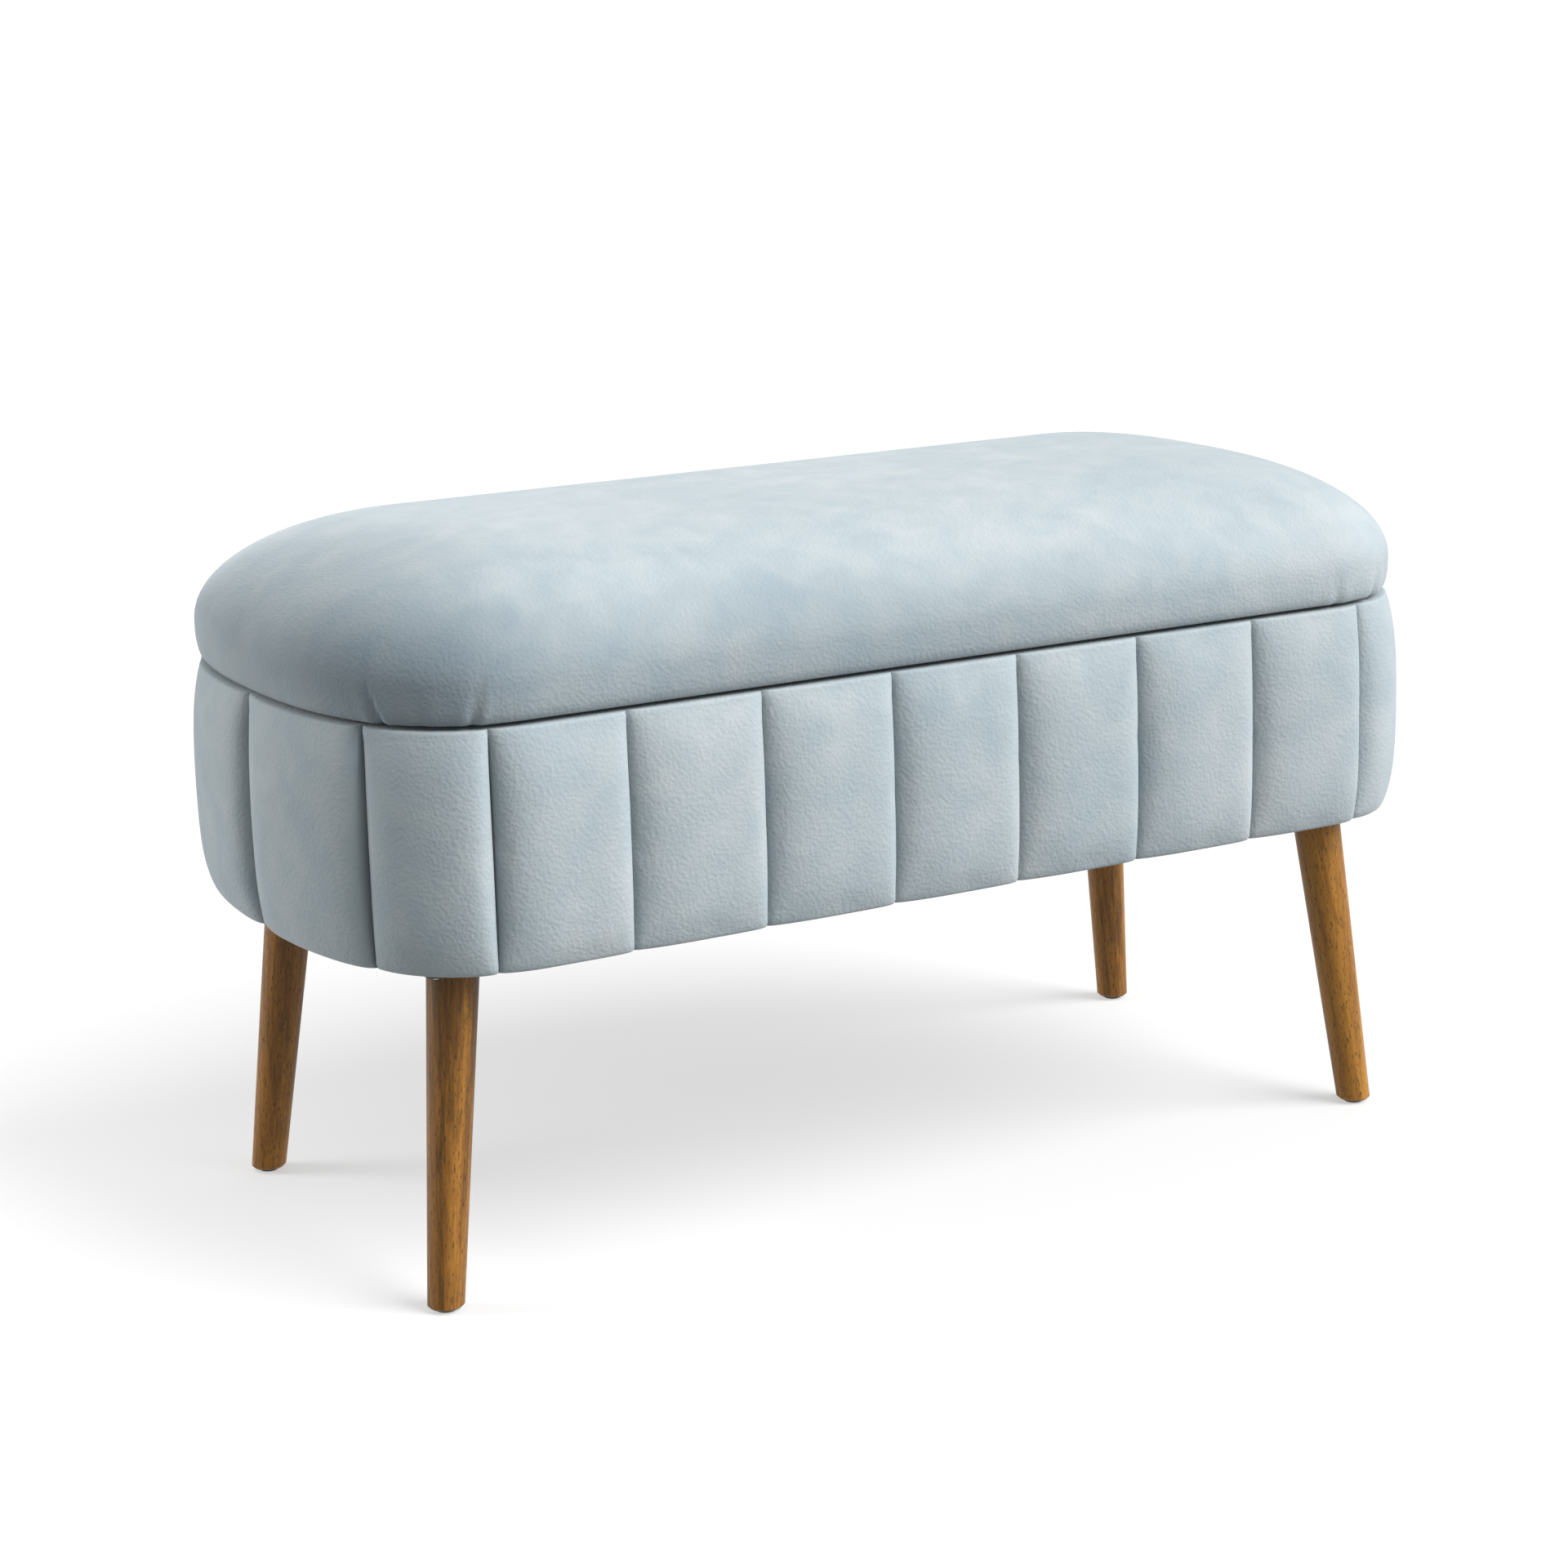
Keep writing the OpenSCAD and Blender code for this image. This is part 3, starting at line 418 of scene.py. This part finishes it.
# ---- Legs -------------------------------------------------------------------------------------------------
# Turned rubberwood, stained walnut brown and sealed with satin lacquer, screwed to slanted steel plates by
# hanger bolts. Each stands on a small nylon glide.
leg_places = {"front_left": (-1, -1), "front_right": (1, -1), "rear_left": (-1, 1), "rear_right": (1, 1)}
leg_top, leg_foot = (0.3587, 0.1444, 0.238), (0.38542, 0.16381, 0.0)
for corner, (side_x, side_y) in leg_places.items():
    # Each leg's stain is shifted to paint the light on it: above 0 darker, painted shade (the front left leg, in
    # the bench's shadow), and below 0 paler, painted light (the front right leg).
    painted_shading = {"front_left": 0.05, "front_right": -0.08, "rear_left": 0.0, "rear_right": 0.0}[corner]
    # Open-pored longitudinal grain: 1.5 mm figure lines running down the leg's own axis, with short dark pores.
    wood, tree, shader = new_material("walnut_stained_rubberwood_" + corner)
    place = add_node(tree, "ShaderNodeTexCoord").outputs["Object"]
    lean_x = math.atan2(leg_foot[0] - leg_top[0], leg_top[2]) * side_x
    lean_y = math.atan2(leg_foot[1] - leg_top[1], leg_top[2]) * side_y
    # The grain runs out of the leg a little, and each leg is turned to another face of it.
    run_out, face_turn = 0.05, 0.4 * side_x + 0.9 * side_y
    upright = add_node(tree, "ShaderNodeMapping", {"Vector": place,
                                                   "Rotation": (run_out - lean_y, lean_x, face_turn)})
    long_place = add_node(tree, "ShaderNodeMapping", {"Vector": upright.outputs[0], "Scale": (1, 1, 0.045)})
    figure = add_node(tree, "ShaderNodeTexNoise", {"Vector": long_place.outputs[0], "Scale": 420.0,
                                                   "Detail": 5.0, "Roughness": 0.62, "Distortion": 0.35})
    broad = add_node(tree, "ShaderNodeTexNoise", {"Vector": long_place.outputs[0], "Scale": 90.0,
                                                  "Detail": 2.0, "Distortion": 0.8})
    pore_place = add_node(tree, "ShaderNodeMapping", {"Vector": upright.outputs[0], "Scale": (1, 1, 0.15)})
    pores = add_node(tree, "ShaderNodeTexNoise", {"Vector": pore_place.outputs[0], "Scale": 1100.0,
                                                  "Detail": 1.0})
    mixed = add_node(tree, "ShaderNodeMath", {0: broad.outputs[0], 1: 0.5}, operation="MULTIPLY")
    mixed = add_node(tree, "ShaderNodeMath", {0: figure.outputs[0], 1: 0.5, 2: mixed.outputs[0]},
                     operation="MULTIPLY_ADD")
    stain = add_node(tree, "ShaderNodeValToRGB", {"Fac": mixed.outputs[0]})
    stain.color_ramp.elements[0].position = 0.36 + painted_shading
    stain.color_ramp.elements[0].color = linear("#573912")
    stain.color_ramp.elements[1].position = 0.66 + painted_shading
    stain.color_ramp.elements[1].color = linear("#9d6d29")
    tone = stain.color_ramp.elements.new(0.5 + painted_shading)
    tone.color = linear("#80551d")
    pore_mask = add_node(tree, "ShaderNodeMapRange", {0: pores.outputs[0], 1: 0.61, 2: 0.68, 3: 0.0, 4: 0.8})
    colour = add_node(tree, "ShaderNodeMix", {0: pore_mask.outputs[0], 6: stain.outputs[0],
                                              7: linear("#382009")}, data_type="RGBA")
    bump = add_node(tree, "ShaderNodeBump", {"Height": figure.outputs[0], "Strength": 0.15, "Distance": 0.0004})
    tree.links.new(colour.outputs[2], shader.inputs["Base Color"])
    tree.links.new(bump.outputs[0], shader.inputs["Normal"])
    shader.inputs["Roughness"].default_value = 0.45
    shader.inputs["Specular IOR Level"].default_value = 0.3
    finish_nodes(["leg_" + corner], wood)

# ---- Lid cushion ------------------------------------------------------------------------------------------
# One velvet skin drawn tight over a domed foam block and a plywood board, turned under the board's edge and
# stapled. It has no piping; it puckers a little where it is pulled round the corners.
lid_setback, lid_edge, lid_edge_top = 0.0075, 0.405, 0.500
round_run, round_height, crown = 0.135, 0.070, 0.007
spine_x, spine_run = half_length - half_width, half_width - lid_setback
lid_columns = 640
lid_arc = np.arange(lid_columns) / lid_columns * perimeter
lid_points, lid_normals = on_line(lid_arc)


def lid_ring(inset, height):
    return np.column_stack([lid_points - inset * lid_normals, np.full(lid_columns, height)])


def dome_ring(run, height):
    """A ring of the dome, this far in from the lid's edge towards its middle line."""
    edge = lid_points - lid_setback * lid_normals
    middle_line = np.column_stack([edge[:, 0].clip(-spine_x, spine_x), np.zeros(lid_columns)])
    return np.column_stack([edge + (middle_line - edge) * run / spine_run, np.full(lid_columns, height)])


def dome_height(run):
    fall = 1 - min(run, round_run) / round_run
    return lid_edge_top - round_height * (1 - math.sqrt(1 - fall ** 2)) + crown * math.sin(
        math.pi / 2 * min(run / (0.96 * spine_run), 1)) ** 2


board_in, board_low, board_top = 0.0212, 0.4065, 0.4191
hem_in = 0.0535
lid_rings = [dome_ring(spine_run, board_top), dome_ring(0.1, board_top), lid_ring(board_in, board_top),
             lid_ring(board_in, board_low), lid_ring(hem_in, board_low), lid_ring(hem_in, lid_edge)]
lid_rings += [lid_ring(inset, height) for inset, height in (
    (0.046, 0.4050), (0.038, 0.4050), (0.030, 0.4050), (0.024, 0.4050), (0.019, 0.4050), (0.0155, 0.4050),
    (0.0133, 0.4052), (0.0119, 0.4060), (0.0110, 0.4074))]
pinned_rings = len(lid_rings)
side_top = lid_edge_top - round_height
lid_rings += [lid_ring(lid_setback + 0.004 * (1 - t) ** 3, lid_edge + (side_top - lid_edge) * t)
              for t in np.linspace(0.16, 1, 7)]
runs = [round_run * (1 - math.cos(math.radians(a))) for a in np.linspace(0, 90, 37)[1:]]
runs += list(np.linspace(round_run, spine_run, 20)[1:])
lid_rings += [dome_ring(run, dome_height(run)) for run in runs]
lid = mesh_object("lid_cushion_velvet", lid_rings)
lid_row = np.arange(len(lid.data.vertices)) // lid_columns

held = (lid_row < pinned_rings) | (lid_row == len(lid_rings) - 1)
edit_all(lid)
bpy.ops.mesh.normals_make_consistent(inside=False)
bpy.ops.object.mode_set(mode="OBJECT")
swell(lid, held, pressure=3.0, slack=0.012, most=0.004)

# Each pucker as (arc length at the lid's edge, how it leans, half width, depth, how far it climbs).
puckers = [(-0.436, -0.31, 0.0034, 0.0034, 0.026), (-0.366, 0.22, 0.0032, 0.0028, 0.018),
           (-0.404, -0.05, 0.0050, 0.0010, 0.014), (0.330, -0.20, 0.0036, 0.0016, 0.016),
           (0.374, 0.10, 0.0036, 0.0020, 0.018), (0.438, 0.25, 0.0034, 0.0024, 0.022),
           (0.812, -0.25, 0.0034, 0.0026, 0.022), (0.868, 0.15, 0.0036, 0.0020, 0.017),
           (-0.806, 0.28, 0.0034, 0.0026, 0.023), (-0.861, -0.12, 0.0034, 0.0022, 0.018)]
co = vertices(lid)
column = np.arange(len(co)) % lid_columns
on_side = (lid_row >= pinned_rings - 4) & (np.hypot(
    co[:, 0] - co[:, 0].clip(-spine_x, spine_x), co[:, 1]) > 0.12)
rise = (co[:, 2] - lid_edge).clip(0)
push = np.zeros(len(co))
for where, leaning, half_w, depth, climb in puckers:
    off = lid_arc[column] - where - leaning * rise
    off = (np.mod(off + perimeter / 2, perimeter) - perimeter / 2) / half_w
    fold = (-np.exp(-off ** 2) + 0.55 * np.exp(-((off - 2.1) / 1.3) ** 2)
            + 0.35 * np.exp(-((off + 2.2) / 1.4) ** 2))
    push += depth * fold * np.exp(-(rise / climb) ** 1.6)
co[:, :2] += (push * on_side)[:, None] * lid_normals[column]
set_vertices(lid, co)
close_seams(lid, 2e-4)
# Painted shade darkens the velvet over the left end, round the front left corner and along the front edge.
lid.data.materials.append(velvet_finish("dusty_blue_velvet_smooth", [
    ((-0.43, -0.07, 0.46), (0.20, 0.24, 0.10), 0.30), ((-0.40, -0.17, 0.440), (0.17, 0.13, 0.075), 0.32),
    ((-0.14, -0.225, 0.44), (0.46, 0.09, 0.075), 0.22)]))
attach(lid, "lid")
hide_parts("lid_cover", "lid_foam")

# ---- Linings ----------------------------------------------------------------------------------------------
# Charcoal polyester lining cloth: a band glued round the walls and corner posts, a floor piece laid on the base
# board, and a flat piece stretched over the staples under the lid. Cut flat, so it bags and ripples a little.
lining, tree, shader = new_material("charcoal_polyester_lining")
place = add_node(tree, "ShaderNodeTexCoord").outputs["Object"]
# Plain weave, drawn at 1.6 mm a thread pair because the real 0.4 mm would not show.
warp = add_node(tree, "ShaderNodeTexWave", {"Vector": place, "Scale": 200.0, "Distortion": 0.3},
                bands_direction="X")
weft = add_node(tree, "ShaderNodeTexWave", {"Vector": place, "Scale": 200.0, "Distortion": 0.3},
                bands_direction="Z")
weave = add_node(tree, "ShaderNodeMath", {0: warp.outputs[1], 1: weft.outputs[1]}, operation="MULTIPLY")
fade = add_node(tree, "ShaderNodeTexNoise", {"Vector": place, "Scale": 14.0, "Detail": 3.0})
shade = add_node(tree, "ShaderNodeMath", {0: weave.outputs[0], 1: 0.4, 2: fade.outputs[0]},
                 operation="MULTIPLY_ADD")
colour = add_node(tree, "ShaderNodeMix", {0: shade.outputs[0], 6: linear("#2d3035"), 7: linear("#4a4e55")},
                  data_type="RGBA")
bump = add_node(tree, "ShaderNodeBump", {"Height": weave.outputs[0], "Strength": 0.25, "Distance": 0.0003})
tree.links.new(colour.outputs[2], shader.inputs["Base Color"])
tree.links.new(bump.outputs[0], shader.inputs["Normal"])
shader.inputs["Roughness"].default_value = 0.8
shader.inputs["Sheen Weight"].default_value = 0.15

wall_inset, post_near, post_far, post_out = 0.034, 0.300, 0.336, 0.018


def well_line(gap, spacing=0.006):
    """Points round the inside of the box, this far off its walls and corner posts."""
    curve = corner_points * (1, -1) - (wall_inset + gap) * corner_normals / np.linalg.norm(
        corner_normals, axis=1, keepdims=True) * (1, -1)
    wall_y = curve[0, 1]
    curve = curve[curve[:, 0] > post_far + gap]
    post_y = -half_width + wall_inset + post_out + gap
    corners = [(0, wall_y), (post_near - gap, wall_y), (post_near - gap, post_y), (post_far + gap, post_y),
               (post_far + gap, curve[0, 1])]
    quarter = [np.linspace(a, b, max(2, round(math.dist(a, b) / spacing)), endpoint=False)
               for a, b in zip(corners, corners[1:])]
    run = np.concatenate([[0], np.cumsum(np.linalg.norm(np.diff(curve, axis=0), axis=1))])
    even_run = np.linspace(0, run[-1], round(run[-1] / spacing))
    quarter = np.concatenate(quarter + [np.stack([np.interp(even_run, run, curve[:, k]) for k in (0, 1)], 1)])
    back = quarter[::-1][1:]
    return np.concatenate([quarter, back * (1, -1), (quarter * (-1, -1))[1:], (back * (-1, 1))[:-1]])


def ripple(x, y, seed):
    """Low, smooth unevenness from -1 to 1, for cloth that isn't quite flat."""
    wave = np.random.default_rng(seed)
    total = sum(np.sin(x * wave.uniform(9, 34) + y * wave.uniform(-30, 30) + wave.uniform(0, 6.28))
                for _ in range(6))
    return total / 3.2


def thicken(piece, thickness):
    """Gives a sheet its thickness, half to each side."""
    modifier = piece.modifiers.new("thickness", "SOLIDIFY")
    modifier.thickness = thickness
    modifier.offset = 0
    bpy.ops.object.select_all(action="DESELECT")
    bpy.context.view_layer.objects.active = piece
    piece.select_set(True)
    bpy.ops.object.modifier_apply(modifier=modifier.name)
    piece.data.shade_smooth()


floor_top, wall_high, cloth_thick = 0.2551, 0.3849, 0.0010
wall_gap, floor_gap, most_bag = 0.0009, 0.0016, 0.0032
band = well_line(wall_gap)
tangent = np.roll(band, -1, 0) - np.roll(band, 1, 0)
inward = np.column_stack([-tangent[:, 1], tangent[:, 0]]) / np.linalg.norm(tangent, axis=1, keepdims=True)
band_arc = np.concatenate([[0], np.cumsum(np.linalg.norm(np.diff(band, axis=0), axis=1))])
# It lies flat on the corner posts and near them, where the lid's stays pass.
post_middle = (post_near + post_far) / 2
off_post = np.clip((np.abs(np.abs(band[:, 0]) - post_middle) - 0.030) / 0.05, 0, 1)
band_low = floor_top + 0.0002
rings = []
for t in np.linspace(0, 1, 20):
    uneven = 1 + ripple(band_arc, np.full(len(band), t * 0.13), 3)
    bag = most_bag / 2 * uneven * math.sin(math.pi * t) * off_post
    rings.append(np.column_stack([band + inward * bag[:, None],
                                  np.full(len(band), band_low + (wall_high - band_low) * t)]))
wall_cloth = mesh_object("lining_round_walls", rings)
close_seams(wall_cloth, 1e-6)
thicken(wall_cloth, cloth_thick)
wall_cloth.data.materials.append(lining)
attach(wall_cloth, "box")
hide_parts("wall_lining")


def flat_cloth(name, edge, height, lift, seed, material, body_name, replaced):
    """A sheet cut to this outline, with low ripples that die out at its edge. Lift is how far they may rise,
    or sag where it is below zero."""
    middle_line = np.column_stack([edge[:, 0].clip(-spine_x, spine_x), np.zeros(len(edge))])
    rings = []
    for f in np.append(np.linspace(0, 0.96, 25), 1.0):
        flat = edge + (middle_line - edge) * f
        loose = min(1.0, f / 0.3) ** 2 * (1 + ripple(flat[:, 0], flat[:, 1], seed)) / 2
        rings.append(np.column_stack([flat, height + lift * loose]))
    sheet = mesh_object(name, rings)
    close_seams(sheet, 1e-4)
    thicken(sheet, cloth_thick)
    sheet.data.materials.append(material)
    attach(sheet, body_name)
    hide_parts(replaced)


flat_cloth("lining_on_floor", well_line(floor_gap), floor_top + 0.0006, 0.0022, 5, lining, "box",
           "floor_lining")
outline_count, lid_lining_in = 400, 0.0538
outline_points, outline_normals = on_line(np.arange(outline_count) / outline_count * perimeter)
flat_cloth("lining_under_lid", outline_points - lid_lining_in * outline_normals, 0.4059, -0.0010, 7, lining,
           "lid", "lid_lining")

# ---- Dust cover -------------------------------------------------------------------------------------------
# Black non-woven polypropylene, stapled to the underside of the base board over the cover's hem. It sags a
# little between its staples, which are 10 mm galvanised crowns.
dust_cloth, tree, shader = new_material("black_nonwoven_dust_cloth")
place = add_node(tree, "ShaderNodeTexCoord").outputs["Object"]
# Felted fibres and the 2.5 mm grid of bonding points that holds them.
fibres = add_node(tree, "ShaderNodeTexNoise", {"Vector": place, "Scale": 500.0, "Detail": 4.0,
                                               "Distortion": 1.5})
points = add_node(tree, "ShaderNodeTexVoronoi", {"Vector": place, "Scale": 400.0, "Randomness": 0.15})
colour = add_node(tree, "ShaderNodeMix", {0: fibres.outputs[0], 6: linear("#141517"), 7: linear("#35373a")},
                  data_type="RGBA")
bump = add_node(tree, "ShaderNodeBump", {"Height": points.outputs[0], "Strength": 0.3, "Distance": 0.0003})
tree.links.new(colour.outputs[2], shader.inputs["Base Color"])
tree.links.new(bump.outputs[0], shader.inputs["Normal"])
shader.inputs["Roughness"].default_value = 0.9
dust_in = 0.026
flat_cloth("dust_cover_cloth", outline_points - dust_in * outline_normals, 0.2373, -0.0022, 11, dust_cloth,
           "box", "dust_cover")

# The dust cover is held by a ring of staples: flat crowns, with both legs driven into the base board.
# Bright zinc with a faint cloudy spangle.
zinc, tree, shader = new_material("bright_zinc_plated_steel")
place = add_node(tree, "ShaderNodeTexCoord").outputs["Object"]
cloud = add_node(tree, "ShaderNodeTexNoise", {"Vector": place, "Scale": 160.0, "Detail": 4.0})
colour = add_node(tree, "ShaderNodeMix", {0: cloud.outputs[0], 6: linear("#a9adb2"), 7: linear("#d3d6d9")},
                  data_type="RGBA")
rough = add_node(tree, "ShaderNodeMapRange", {0: cloud.outputs[0], 1: 0.3, 2: 0.7, 3: 0.26, 4: 0.42})
tree.links.new(colour.outputs[2], shader.inputs["Base Color"])
tree.links.new(rough.outputs[0], shader.inputs["Roughness"])
shader.inputs["Metallic"].default_value = 1.0

bpy.ops.object.select_all(action="DESELECT")
staple_every, staple_in, staple_height = 0.055, 0.032, 0.23645
staple_wide, wire, crown_thick, staple_leg = 0.010, 0.0011, 0.0007, 0.0060
bpy.ops.mesh.primitive_cube_add(size=1.0)
first = bpy.context.object
first.data.transform(Matrix.Diagonal((staple_wide, wire, crown_thick, 1)))
edit_all(first)
for side_x in (-1, 1):
    bpy.ops.mesh.select_all(action="SELECT")
    bpy.ops.mesh.bisect(plane_co=(side_x * (staple_wide / 2 - crown_thick), 0, 0), plane_no=(1, 0, 0))
bpy.ops.mesh.select_all(action="DESELECT")
bpy.ops.object.mode_set(mode="OBJECT")
for face in first.data.polygons:
    face.select = face.normal.z > 0.9 and abs(face.center.x) > staple_wide / 2 - crown_thick
bpy.ops.object.mode_set(mode="EDIT")
bpy.ops.mesh.select_mode(type="FACE")
bpy.ops.mesh.extrude_region_move(TRANSFORM_OT_translate={"value": (0, 0, staple_leg)})
bpy.ops.mesh.select_all(action="SELECT")
bpy.ops.mesh.bevel(offset=0.00018, segments=1, affect="EDGES")
bpy.ops.object.mode_set(mode="OBJECT")

# They follow the edge, each a few degrees off as the gun was held.
staple_count = round(perimeter / staple_every)
staples = []
for k in range(staple_count):
    (point,), (normal,) = on_line(np.array([(k + 0.5) * perimeter / staple_count]))
    turn = Matrix.Rotation(math.atan2(normal[1], normal[0]) + math.pi / 2 + 0.12 * math.sin(7 * k), 4, "Z")
    spot = (*(point - staple_in * normal), staple_height)
    staple = bpy.data.objects.new("staple", first.data.copy())
    scene.collection.objects.link(staple)
    staple.data.transform(Matrix.Translation(spot) @ turn)
    staples.append(staple)
bpy.data.objects.remove(first)
bpy.ops.object.select_all(action="DESELECT")
for staple in staples:
    staple.select_set(True)
bpy.context.view_layer.objects.active = staples[0]
bpy.ops.object.join()
staples = bpy.context.object
staples.name = "dust_cover_staples"
staples.data.materials.append(zinc)
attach(staples, "box")

# ---- Fittings ---------------------------------------------------------------------------------------------
# Pressed mild steel: hinges, lid stays, hanger bolts and all screws, zinc-plated like the staples, and the four
# leg plates that the bolts turn into.
plated = ("hinge_", "stay_", "hanger_", "leg_plate_screws")
finish_nodes([name for name in nodes if name.startswith(plated)], zinc)

# The leg plates are dipped rather than plated, so they are dull and dark grey.
dull_zinc, tree, shader = new_material("dull_galvanised_steel")
place = add_node(tree, "ShaderNodeTexCoord").outputs["Object"]
spangle = add_node(tree, "ShaderNodeTexVoronoi", {"Vector": place, "Scale": 260.0})
colour = add_node(tree, "ShaderNodeMix", {0: spangle.outputs["Color"], 6: linear("#3d3f42"),
                                          7: linear("#515457")}, data_type="RGBA")
tree.links.new(colour.outputs[2], shader.inputs["Base Color"])
shader.inputs["Metallic"].default_value = 1.0
shader.inputs["Roughness"].default_value = 0.55
finish_nodes(["leg_plate_" + corner for corner in leg_places], dull_zinc)

# ---- Glides and bumpers -----------------------------------------------------------------------------------
# Moulded nylon glides pushed into the legs, and soft rubber bumpers on the rim that the lid comes down on.
for name, members, shade, rough in (
    ("moulded_brown_nylon", [n for n in nodes if n.startswith("glide_")], "#3a322c", 0.45),
    ("moulded_black_rubber", ["rim_bumpers"], "#232426", 0.75),
):
    plastic, tree, shader = new_material(name)
    place = add_node(tree, "ShaderNodeTexCoord").outputs["Object"]
    # Spark-eroded mould texture, drawn at 0.6 mm so that it shows.
    texture = add_node(tree, "ShaderNodeTexNoise", {"Vector": place, "Scale": 1600.0, "Detail": 2.0})
    bump = add_node(tree, "ShaderNodeBump", {"Height": texture.outputs[0], "Strength": 0.2, "Distance": 0.0002})
    scuff = add_node(tree, "ShaderNodeTexNoise", {"Vector": place, "Scale": 220.0, "Detail": 3.0})
    dull = add_node(tree, "ShaderNodeMapRange", {0: scuff.outputs[0], 1: 0.3, 2: 0.7, 3: rough - 0.08,
                                                 4: rough + 0.1})
    tree.links.new(bump.outputs[0], shader.inputs["Normal"])
    tree.links.new(dull.outputs[0], shader.inputs["Roughness"])
    shader.inputs["Base Color"].default_value = linear(shade)
    finish_nodes(members, plastic)
